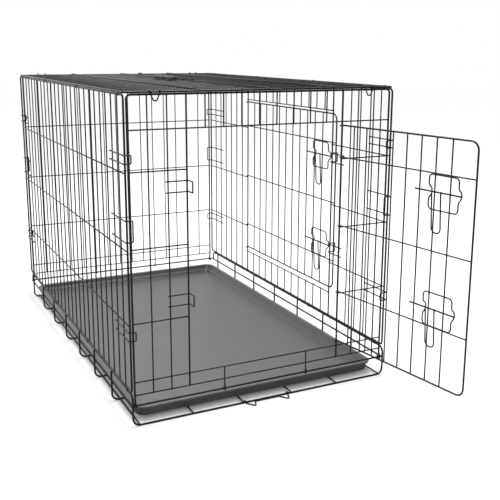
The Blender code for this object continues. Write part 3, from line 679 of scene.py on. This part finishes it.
def base():
    """Rails, U-shaped floor wires and the lengthwise wires that carry the tray."""
    work = Wirework()
    rear = BACK_Y - RAIL_DROP_INSET
    corners = [(LEFT_X, rear, RAIL_Z), (LEFT_X, rear, RAIL_TOP_Z), (LEFT_X, 0, RAIL_TOP_Z),
               (LEFT_X, 0, FLOOR_AXIS_Z), (RIGHT_X, 0, FLOOR_AXIS_Z), (RIGHT_X, 0, RAIL_TOP_Z),
               (RIGHT_X, rear, RAIL_TOP_Z), (RIGHT_X, rear, RAIL_Z)]
    work.wire(rounded(corners, CORNER_BEND), FRAME_R)
    corners = [(LEFT_X, FRONT_Y, RAIL_Z), (LEFT_X, BACK_Y, RAIL_Z), (RIGHT_X, BACK_Y, RAIL_Z),
               (RIGHT_X, FRONT_Y, RAIL_Z)]
    work.wire(rounded(corners, STACK / 2), FRAME_R)
    ends = [(x, FRONT_Y, RAIL_Z) for x in (LEFT_X - RAIL_OVERHANG, RIGHT_X + RAIL_OVERHANG)]
    work.wire(ends, FRAME_R)
    for rail in (LEFT_X, RIGHT_X):
        work.weld((rail, FRONT_Y / 2, RAIL_Z), RAIL_WELD_R)
        work.weld((rail, rear, RAIL_Z), RAIL_WELD_R)
    lanes = (LEFT_X - LEG_LAP, RIGHT_X + LEG_LAP)
    rows = [i * CROSS_WIRE_STEP for i in range(CROSS_WIRES)]
    for y in rows[1:]:
        top = RAIL_TOP_Z + FRAME_R
        corners = [(lanes[0], y, top), (lanes[0], y, FLOOR_AXIS_Z),
                   (lanes[1], y, FLOOR_AXIS_Z), (lanes[1], y, top)]
        work.wire(rounded(corners, CORNER_BEND), FRAME_R)
        for lane, rail in zip(lanes, (LEFT_X, RIGHT_X)):
            for height in (RAIL_Z, RAIL_TOP_Z):
                work.weld(((lane + rail) / 2, y, height), LEG_WELD_R)
    first, last = LEFT_X + FLOOR_WIRE_INSET, RIGHT_X - FLOOR_WIRE_INSET
    for i in range(FLOOR_WIRES):
        x = first + (last - first) * i / (FLOOR_WIRES - 1)
        ends = [(x, y, FLOOR_WIRE_Z) for y in (-WIRE_OVERRUN, rows[-1] + WIRE_OVERRUN)]
        work.wire(ends, FLOOR_R)
        for y in rows:
            work.weld((x, y, (FLOOR_AXIS_Z + FLOOR_WIRE_Z) / 2), FLOOR_WELD_R)
    return work.piece("base_frame")


# Tray

def tray_ring(mesh, inset, height, centre):
    """A rounded rectangle of points, anticlockwise from above."""
    half_width, half_depth = TRAY_HALF_WIDTH - inset, TRAY_HALF_DEPTH - inset
    corner = max(TRAY_CORNER - inset, TRAY_LEAST_CORNER)
    ring = []
    for quarter, (sx, sy) in enumerate(((1, 1), (-1, 1), (-1, -1), (1, -1))):
        middle = centre + Vector((sx * (half_width - corner), sy * (half_depth - corner), height))
        start = radians(90 * quarter)
        turn = arc(middle, ACROSS, BEHIND, corner, start, start + radians(90), TRAY_CORNER_STEPS)
        ring += [mesh.verts.new(point) for point in turn]
    return ring


def tray():
    """A moulded pan: rolled rim, stepped inner wall and flat floor, all edges radiused."""
    corners = [Vector((inset, 0, height)) for inset, height, _ in TRAY_PROFILE]
    path = [corners[0]]
    for i in range(1, len(corners) - 1):
        rounding = TRAY_PROFILE[i][2]
        path += bend(corners[i - 1], corners[i], corners[i + 1], rounding, TRAY_EDGE_STEPS)
    path.append(corners[-1])
    centre = Vector((0, FRONT_Y + TRAY_FRONT_GAP + TRAY_HALF_DEPTH, TRAY_Z))
    mesh = bmesh.new()
    join_rings(mesh, [tray_ring(mesh, point.x, point.z, centre) for point in path])
    return moulded("moulded_tray", mesh, "tray")


def pan_stop():
    """A wire with two teeth on the front floor wire; flipped up, it holds the tray in."""
    axis = Vector((STOP_START, 0, STOP_AXIS_Z))
    wrap = arc(axis, -BEHIND, UP, STOP_LAYER, STOP_WRAP, 0.0)
    front = wrap[-1]
    tooth = [front, front + ACROSS * STOP_TIP - BEHIND * STOP_REACH, front + ACROSS * STOP_TOOTH]
    pitch = ACROSS * (STOP_TOOTH + STOP_ROD)
    teeth = rounded(tooth + [point + pitch for point in tooth], STOP_BEND)
    far_wrap = [point + pitch + ACROSS * STOP_TOOTH for point in reversed(wrap)]
    work = Wirework()
    work.wire(wrap[:-1] + teeth + far_wrap[1:], MESH_R)
    return work.piece("pan_stop")


# Doors and bolts

def door_uprights(width):
    """Where a door's uprights stand, from its hinge."""
    count = int((width - DOOR_FIRST_WIRE - DOOR_EDGE_BAY) / DOOR_WIRE_STEP) + 1
    return [DOOR_FIRST_WIRE + i * DOOR_WIRE_STEP for i in range(count)]


def door(node, plane, width, heights):
    """A door: frame, curled crosswires on its inner side and uprights on its outer side."""
    low, high = heights
    quarter = radians(90)
    work = Wirework()
    xs = door_uprights(width)
    for height in MESH_HEIGHTS:
        level = height + DOOR_LIFT
        curl = arc(plane.spot(0, level), plane.along, plane.layers, DOOR_CROSS_LAYER,
                   quarter, quarter + CURL_SWEEP)
        work.wire([plane.spot(width, level, DOOR_CROSS_LAYER)] + curl, MESH_R)
        work.weld(plane.spot(width - POST_R, level, DOOR_CROSS_LAYER))
        for x in xs:
            work.weld(plane.spot(x, level, (DOOR_CROSS_LAYER + DOOR_UPRIGHT_LAYER) / 2))
    for x in xs:
        ends = [plane.spot(x, height, DOOR_UPRIGHT_LAYER)
                for height in (low - WIRE_OVERRUN, high + WIRE_OVERRUN)]
        work.wire(ends, MESH_R)
        for height in (low, high):
            work.weld(plane.spot(x, height, (DOOR_FRAME_LAYER + DOOR_UPRIGHT_LAYER) / 2))
    layer = DOOR_FRAME_LAYER
    top = arc(plane.spot(0, high), plane.along, plane.layers, layer, quarter + CURL_SWEEP, quarter)
    foot = arc(plane.spot(0, low), plane.along, plane.layers, layer, quarter, quarter + CURL_SWEEP)
    corners = [top[-1], plane.spot(width, high, layer), plane.spot(width, low, layer), foot[0]]
    work.wire(top[:-1] + rounded(corners, DOOR_BEND) + foot[1:], POST_R)
    return work.piece(node)


def latch_guide(node, plane, width, level):
    """A ring on the door's outer face whose two sides bow out over the bolt rod."""
    outer, inner = width - GUIDE_SETBACK, width - GUIDE_SETBACK - GUIDE_LENGTH
    layer, crest = GUIDE_LAYER, GUIDE_LAYER + STAPLE_BULGE
    foot, top = level - GUIDE_DROP, level + GUIDE_RISE
    side = ((layer, -STAPLE_FOOT), (crest, -STAPLE_REACH),
            (crest, STAPLE_REACH), (layer, STAPLE_FOOT))
    corners = [plane.spot(inner, foot, layer), plane.spot(outer, foot, layer)]
    corners += [plane.spot(outer, level + rise, depth) for depth, rise in side]
    corners += [plane.spot(outer, top, layer), plane.spot(inner, top, layer)]
    corners += [plane.spot(inner, level + rise, depth) for depth, rise in reversed(side)]
    work = Wirework()
    work.wire(rounded(corners, GUIDE_BEND, closed=True), MESH_R, closed=True)
    for x in door_uprights(width):
        if inner < x < outer:
            for height in (foot, top):
                work.weld(plane.spot(x, height, (DOOR_UPRIGHT_LAYER + GUIDE_LAYER) / 2))
    return work.piece(node)


def latch_rod(node, plane, width, level):
    """The straight rod that slides along the door into the keeper."""
    start = width - ROD_SETBACK - ROD_LENGTH
    work = Wirework()
    work.wire([plane.spot(x, level, ROD_LAYER) for x in (start, start + ROD_LENGTH)], ROD_R)
    return work.piece(node)


def latch_handle(node, plane, width, level):
    """The hanging U; its two legs lap the rod's outer side."""
    near = width - HANDLE_SETBACK
    far = near - HANDLE_WIDTH
    lap = ROD_LAYER + HANDLE_OFFSET
    drop = ((lap, ROD_R), (lap, -HANDLE_LAP), (lap + HANDLE_STEP, -HANDLE_LENGTH))
    corners = [plane.spot(far, level + rise, layer) for layer, rise in drop]
    corners += [plane.spot(near, level + rise, layer) for layer, rise in reversed(drop)]
    work = Wirework()
    work.wire(rounded(corners, HANDLE_BEND), MESH_R)
    for x in (far, near):
        work.weld(plane.spot(x, level, ROD_LAYER + ROD_R + CLEARANCE))
    return work.piece(node)


def door_with_bolts(side, plane, width, heights):
    """A door and the guides, rods and handles of its two bolts."""
    door(f"{side}_door", plane, width, heights)
    for tag, level in LATCH_HEIGHTS:
        latch_guide(f"{side}_latch_guide_{tag}", plane, width, level)
        latch_rod(f"{side}_latch_rod_{tag}", plane, width, level)
        latch_handle(f"{side}_latch_handle_{tag}", plane, width, level)


def keeper(node, plane, post, tail, level):
    """A wire loop beside a door post; it reaches out through the closed door for the rod."""
    loop, start, half = post + KEEPER_SETBACK, post - tail, KEEPER_HALF
    arm = ((start, KEEPER_LAYER), (loop, KEEPER_LAYER), (loop, -KEEPER_REACH))
    corners = [plane.spot(along, level + half, layer) for along, layer in arm]
    corners += [plane.spot(along, level - half, layer) for along, layer in reversed(arm)]
    work = Wirework()
    work.wire(rounded(corners, KEEPER_BEND), MESH_R)
    for height in (level - half, level + half):
        work.weld(plane.spot(post, height, KEEPER_LAYER / 2 + CLEARANCE))
        work.weld(plane.spot(post - PITCH, height, KEEPER_LAYER / 2))
    return work.piece(node)


# Hooks and clips

def corner_hook(end_name, side_name, tag, level, half):
    """A U on the outside of a side wall, wrapped round the edge of an end wall's frame."""
    side = -1 if side_name == "left" else 1
    end = -1 if end_name == "front" else 1
    y = FRONT_Y if end < 0 else BACK_Y
    lane = side * (FRAME_R + MESH_R + CLEARANCE) + (LEFT_X if side < 0 else RIGHT_X)
    wrap = y + end * (FRAME_R + MESH_R + HOOK_GAP)
    edge = side * (WIDTH / 2 - HOOK_REACH)
    arm = y - end * HOOK_ARM
    low, high = level - half, level + half
    corners = [(lane, arm, high), (lane, wrap, high), (edge, wrap, high),
               (edge, wrap, low), (lane, wrap, low), (lane, arm, low)]
    work = Wirework()
    work.wire(rounded(corners, HOOK_BEND), MESH_R)
    for bays in (1, 2):
        for height in (low, high):
            upright = y - end * bays * PITCH
            work.weld((lane - side * (MESH_R + CLEARANCE), upright, height))
    return work.piece(f"corner_hook_{end_name}_{side_name}_{tag}")


def lid_hook(end_name, tag, bays):
    """A V that hangs from the lid's end wire and holds the end wall's top from outside."""
    end = -BEHIND if end_name == "front" else BEHIND
    seat = Vector((-WIDTH / 2 + bays * PITCH, FRONT_Y if end_name == "front" else BACK_Y, LID_Z))
    reach = FRAME_R + MESH_R + CLEARANCE
    over = arc(seat, -end, UP, reach, 0.0, radians(180))
    half = ACROSS * LID_HOOK_WIDTH / 2
    inner = [point - half for point in over]
    outer = [point + half for point in reversed(over)]
    point = seat + end * reach - UP * LID_HOOK_DROP
    tip = ACROSS * LID_HOOK_TIP / 2
    valley = rounded([inner[-1], point - tip, point + tip, outer[0]], HOOK_BEND)
    work = Wirework()
    work.wire(inner[:-1] + valley + outer[1:], MESH_R)
    return work.piece(f"lid_hook_{end_name}_{tag}")


def racetrack(mesh, radius, place, y):
    """A ring of points round two stacked wires."""
    ring = []
    for half, lift in ((0, STACK), (1, 0.0)):
        start = radians(180 * half)
        centre = place + Vector((0, y, lift))
        turn = arc(centre, ACROSS, UP, radius, start, start + radians(180), CLIP_STEPS)
        ring += [mesh.verts.new(point) for point in turn]
    return ring


def clip(node, place):
    """A steel band closed round two stacked wires, its edges eased."""
    inner, outer, half = CLIP_BORE, CLIP_BORE + CLIP_THICKNESS, CLIP_LENGTH / 2
    section = ((outer, half - CLIP_EDGE), (outer, -half + CLIP_EDGE), (outer - CLIP_EDGE, -half),
               (inner + CLIP_EDGE, -half), (inner, -half + CLIP_EDGE), (inner, half - CLIP_EDGE),
               (inner + CLIP_EDGE, half), (outer - CLIP_EDGE, half))
    mesh = bmesh.new()
    rings = [racetrack(mesh, radius, Vector(place), y) for radius, y in section]
    join_rings(mesh, rings, closed=True)
    return moulded(node + "_band", mesh, node)


# Lid and carry handle

def lid():
    """The top: frame, cross wires and lengthwise wires, with a small loop near the back."""
    work = Wirework()
    seat = Vector((LID_X, FRONT_Y, LID_Z))
    overrun = FRAME_R - WIRE_OVERRUN
    xs = [-LID_HALF + 2 * LID_HALF * i / (LID_LONG_WIRES + 1)
          for i in range(1, LID_LONG_WIRES + 1)]
    for x in xs:
        ends = [seat + Vector((x, y, LID_WIRE_LAYER)) for y in (-overrun, DEPTH + overrun)]
        work.wire(ends, MESH_R)
        for y in (0, DEPTH):
            work.weld(seat + Vector((x, y, LID_WIRE_LAYER / 2 + CLEARANCE)))
    for i in range(1, SIDE_BAYS):
        y = i * PITCH
        work.wire([seat + Vector((x, y, 0)) for x in (-LID_HALF, LID_HALF)], MESH_R)
        for x in xs:
            work.weld(seat + Vector((x, y, LID_WIRE_LAYER / 2)))
        for x in (-LID_HALF + FRAME_R, LID_HALF - FRAME_R):
            work.weld(seat + Vector((x, y, 0)))
    corners = [(-LID_HALF, 0, 0), (LID_HALF, 0, 0), (LID_HALF, DEPTH, 0), (-LID_HALF, DEPTH, 0)]
    loop = rounded([seat + Vector(point) for point in corners], PANEL_BEND, closed=True)
    work.wire(loop, FRAME_R, closed=True)
    x = 2 * MESH_R + SLACK
    start, end = (bays * PITCH for bays in LOOP_BAYS)
    crest = GRID_LAYER + LOOP_RISE
    corners = [(x, start - LOOP_FOOT, GRID_LAYER), (x, start, GRID_LAYER), (x, start, crest),
               (x, end, crest), (x, end, GRID_LAYER), (x, end + LOOP_FOOT, GRID_LAYER)]
    work.wire(rounded([seat + Vector(point) for point in corners], HOOK_BEND), MESH_R)
    for bays in (int(LOOP_BAYS[0]), int(LOOP_BAYS[1]) + 1):
        work.weld(seat + Vector((x, bays * PITCH, GRID_LAYER / 2)))
    return work.piece("top_panel")


def bail(axis):
    """The carry handle's wire, with both arms curled round the lid's middle wire."""
    half = BEHIND * BAIL_LENGTH / 2
    wrap = arc(axis, UP, ACROSS, BAIL_LAYER, 0.0, CURL_SWEEP)
    bar = axis + Vector((-BAIL_REACH, 0, BAIL_RISE))
    near = [point - half for point in reversed(wrap)]
    far = [point + half for point in wrap]
    bow = rounded([near[-1], bar - half, bar + half, far[0]], BAIL_BEND)
    work = Wirework()
    work.wire(near[:-1] + bow + far[1:], BAIL_R)
    return work.piece("handle_bail")


def grip(axis):
    """The moulded grip on the bail: a flattened round with shallow waves for the fingers."""
    mesh = bmesh.new()
    middle = axis + Vector((-BAIL_REACH, 0, BAIL_RISE))
    half = GRIP_LENGTH / 2
    rings = []
    for i in range(GRIP_RINGS + 1):
        y = half - GRIP_LENGTH * i / GRIP_RINGS
        wave = 1.0 - GRIP_SWELL * cos(radians(360 * GRIP_WAVES * i / GRIP_RINGS))
        inset = max(0.0, GRIP_END - (half - abs(y))) / GRIP_END
        shrink = (1 - inset ** 2) ** 0.5 * GRIP_END_SHRINK + (1 - GRIP_END_SHRINK)
        ring = []
        for k in range(GRIP_SIDES):
            angle = radians(360 * k / GRIP_SIDES)
            x, z = cos(angle), sin(angle)
            square = (abs(x) ** GRIP_POWER + abs(z) ** GRIP_POWER) ** (-1 / GRIP_POWER)
            offset = Vector((GRIP_HALF_WIDTH * x, 0, GRIP_HALF_HEIGHT * z)) * square * wave * shrink
            ring.append(mesh.verts.new(middle + BEHIND * y + offset))
        rings.append(ring)
    for y in (-half, half):
        bore = arc(middle + BEHIND * y, ACROSS, UP, BAIL_R + CLEARANCE, 0, radians(360), GRIP_SIDES)
        rings.append([mesh.verts.new(point) for point in bore[:-1]])
    join_rings(mesh, rings, closed=True)
    return moulded("moulded_grip", mesh, "handle_grip")


# Assembly

def build_crate():
    """Every piece, where it is at rest."""
    base()
    tray()
    pan_stop()
    front = Plane((-WIDTH / 2, FRONT_Y, 0), ACROSS, BEHIND)
    back = Plane((-WIDTH / 2, BACK_Y, 0), ACROSS, -BEHIND)
    left = Plane((LEFT_X, FRONT_Y, 0), BEHIND, -ACROSS)
    right = Plane((RIGHT_X, FRONT_Y, 0), BEHIND, -ACROSS)
    end_wall("front_panel", front, True)
    end_wall("back_panel", back, False)
    side_wall("left_side_panel", left, False)
    side_wall("right_side_panel", right, True)
    for tag, level in LATCH_HEIGHTS:
        keeper(f"front_keeper_{tag}", front, FRONT_POSTS[0] * PITCH, FRONT_KEEPER_TAIL, level)
        keeper(f"side_keeper_{tag}", right, SIDE_POSTS[0] * PITCH, SIDE_KEEPER_TAIL, level)
    swing = radians(180) + DOOR_OPEN
    hinge = (-WIDTH / 2 + FRONT_POSTS[1] * PITCH, FRONT_Y, 0)
    leaf = Plane(hinge, (cos(swing), sin(swing), 0), (-sin(swing), cos(swing), 0))
    door_with_bolts("front", leaf, FRONT_DOOR_WIDTH, FRONT_DOOR_Z)
    leaf = Plane((RIGHT_X, FRONT_Y + SIDE_POSTS[1] * PITCH, 0), -BEHIND, ACROSS)
    door_with_bolts("side", leaf, SIDE_DOOR_WIDTH, SIDE_DOOR_Z)
    lid()
    axis = Vector((LID_X, FRONT_Y + DEPTH / 2, LID_Z + LID_WIRE_LAYER))
    bail(axis)
    grip(axis)
    for end_name in ("front", "back"):
        for side_name in ("left", "right"):
            for tag, level, half in CORNER_HOOKS:
                corner_hook(end_name, side_name, tag, level, half)
        for tag, bays in LID_HOOK_PLACES:
            lid_hook(end_name, tag, bays)
    for side_name, x in (("left", LEFT_X), ("right", RIGHT_X)):
        for i, bays in enumerate(CLIP_BAYS, 1):
            y = FRONT_Y + bays * PITCH
            clip(f"base_clip_{side_name}_{i}", (x, y, RAIL_TOP_Z))
            clip(f"lid_clip_{side_name}_{i}", (x, y, WALL_TOP_Z))


# Studio

def studio():
    """A plain pale floor, an even white surround and soft lamps."""
    mesh = bmesh.new()
    bmesh.ops.create_grid(mesh, x_segments=1, y_segments=1, size=STUDIO_HALF_SIZE)
    data = bpy.data.meshes.new("studio_floor")
    mesh.to_mesh(data)
    mesh.free()
    paper = bpy.data.materials.new("pale_paper")
    paper.use_nodes = True
    add, link = builder(paper.node_tree)
    shader = paper.node_tree.nodes["Principled BSDF"]
    shader.inputs["Roughness"].default_value = PAPER_ROUGHNESS
    shader.inputs["Specular IOR Level"].default_value = 0.0
    shader.inputs["Emission Color"].default_value = (1, 1, 1, 1)
    rays, place = add("ShaderNodeLightPath"), add("ShaderNodeTexCoord")
    away = add("ShaderNodeVectorMath", {1: CRATE_MIDDLE}, operation="DISTANCE")
    fade = add("ShaderNodeMapRange", ramp(FLOOR_LIFT))
    lift = add("ShaderNodeMath", operation="MULTIPLY")
    tone = add("ShaderNodeMapRange", {"To Min": FLOOR_TONE, "To Max": FLOOR_TONE_REFLECTED})
    link(place, "Object", away, 0)
    link(away, "Value", fade, "Value")
    link(fade, "Result", lift, 0)
    link(rays, "Is Camera Ray", lift, 1)
    link(lift, 0, shader, "Emission Strength")
    link(rays, "Is Glossy Ray", tone, "Value")
    link(tone, "Result", shader, "Base Color")
    data.materials.append(paper)
    link_object("studio_floor", data)

    world = bpy.data.worlds.new("studio_surround")
    bpy.context.scene.world = world
    world.use_nodes = True
    add, link = builder(world.node_tree)
    surround = world.node_tree.nodes["Background"]
    surround.inputs["Color"].default_value = (1, 1, 1, 1)
    rays, place = add("ShaderNodeLightPath"), add("ShaderNodeTexCoord")
    parts = add("ShaderNodeSeparateXYZ")
    backdrop = add("ShaderNodeMapRange", ramp(BACKDROP))
    clear = add("ShaderNodeMath", operation="MAXIMUM")
    mirrored = add("ShaderNodeMix", {"A": SKY_LEVEL}, data_type="FLOAT")
    level = add("ShaderNodeMix", {"B": 1.0}, data_type="FLOAT")
    link(place, "Generated", parts, "Vector")
    link(parts, "Y", backdrop, "Value")
    link(rays, "Is Glossy Ray", mirrored, "Factor")
    link(backdrop, "Result", mirrored, "B")
    link(rays, "Is Camera Ray", clear, 0)
    link(rays, "Is Transmission Ray", clear, 1)
    link(clear, 0, level, "Factor")
    link(mirrored, "Result", level, "A")
    link(level, "Result", surround, "Strength")

    for name, place, aim, size, power in LAMPS:
        lamp = bpy.data.lights.new(name, "AREA")
        lamp.shape = "SQUARE"
        lamp.size = size
        lamp.energy = power
        item = link_object(name, lamp)
        item.location = place
        item.rotation_euler = (Vector(aim) - Vector(place)).to_track_quat("-Z", "Y").to_euler()


def camera():
    """The photograph's viewpoint."""
    data = bpy.data.cameras.new("camera")
    data.sensor_width = SENSOR_WIDTH
    data.lens = LENS
    data.shift_x, data.shift_y = LENS_SHIFT
    data.clip_start, data.clip_end = CLIP_RANGE
    item = link_object("camera", data)
    turn = (Matrix.Rotation(CAMERA_HEADING, 4, "Z")
            @ Matrix.Rotation(radians(90) - CAMERA_DIP, 4, "X"))
    place = Matrix.Translation(CAMERA_PLACE)
    item.matrix_world = place @ turn @ Matrix.Rotation(CAMERA_ROLL, 4, "Z")
    bpy.context.scene.camera = item


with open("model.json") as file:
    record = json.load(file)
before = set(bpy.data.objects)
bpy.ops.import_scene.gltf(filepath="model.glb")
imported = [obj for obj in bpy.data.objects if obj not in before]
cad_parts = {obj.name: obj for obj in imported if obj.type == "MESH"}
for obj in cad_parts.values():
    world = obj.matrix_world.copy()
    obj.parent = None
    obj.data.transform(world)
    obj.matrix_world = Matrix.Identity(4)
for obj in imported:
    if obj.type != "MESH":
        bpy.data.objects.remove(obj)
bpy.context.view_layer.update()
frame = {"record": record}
BODY_OF = {node: body for body, nodes in frame["record"]["behaviour"]["bodies"].items()
           for node in nodes}
SLOT_OF = {part["node"]: part["material_slot"] for part in frame["record"]["subparts"]}
ROUND_WIRE = round_wire_tree()
MOTTLE = mottle_group()
GRAIN = grain_group()
# Name, colour, roughness, shine, (patches per metre, unevenness), (grains per metre, pebbles),
# (strength, depth)
FINISHES = {
    "black_wire": Finish("black_powder_coat", (0.0060, 0.0060, 0.0065), 0.34, 0.45,
                         (28, 0.10), (900, 0.0), (0.25, 0.00008)),
    "clip_steel": Finish("black_clip_coat", (0.0070, 0.0070, 0.0075), 0.34, 0.40,
                         (60, 0.10), (1100, 0.0), (0.20, 0.00006)),
    "tray_plastic": Finish("pebbled_tray", (0.046, 0.048, 0.047), 0.36, 0.90,
                           (9, 0.12), (620, 0.8), (0.35, 0.00025)),
    "grip_plastic": Finish("satin_grip", (0.012, 0.012, 0.012), 0.45, 0.45,
                           (40, 0.06), (900, 0.6), (0.30, 0.00012)),
}
studio()
camera()
build_crate()

view = bpy.context.scene.view_settings
view.view_transform = "Standard"
